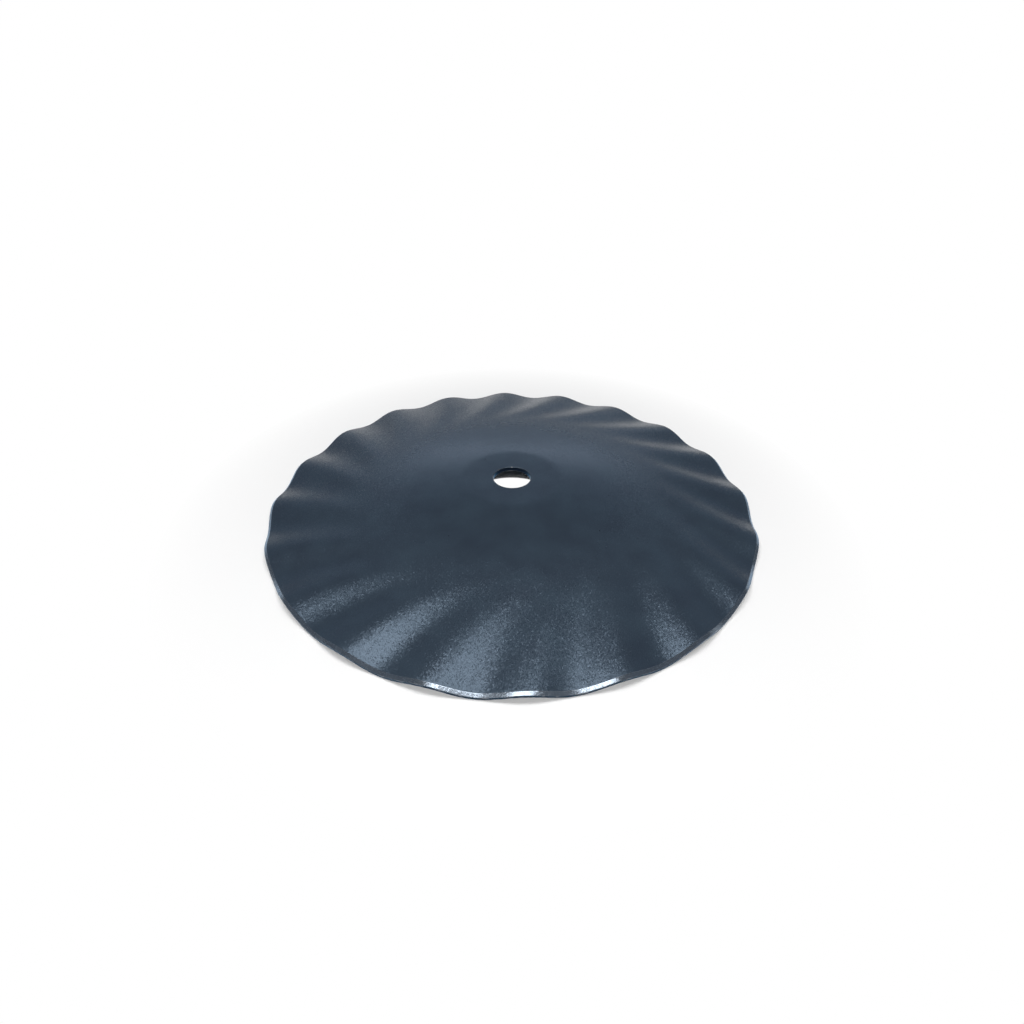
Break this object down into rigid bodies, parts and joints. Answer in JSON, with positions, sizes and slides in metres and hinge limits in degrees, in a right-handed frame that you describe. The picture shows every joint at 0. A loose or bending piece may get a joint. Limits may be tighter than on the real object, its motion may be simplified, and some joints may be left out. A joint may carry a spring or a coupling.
{
  "type": "harrow disc blade",
  "caption": "Round dished steel plate with a flat centre, a round hole for the gang bolt and swept flutes pressed into its bevelled rim; it rolls through soil to cut and turn it.",
  "frame": {"origin": "on the axis of the hole, in the plane that the low points of the rim rest on", "axes": "+Z along the axis of the hole, out of the convex side; +X over one flute crest at the rim"},
  "size_m": [0.5086, 0.5086, 0.039],
  "materials": {
    "blade_paint": "satin"
  },
  "bodies": {
    "root": {"disc_blade": "blade_paint"}
  },
  "joints": []
}
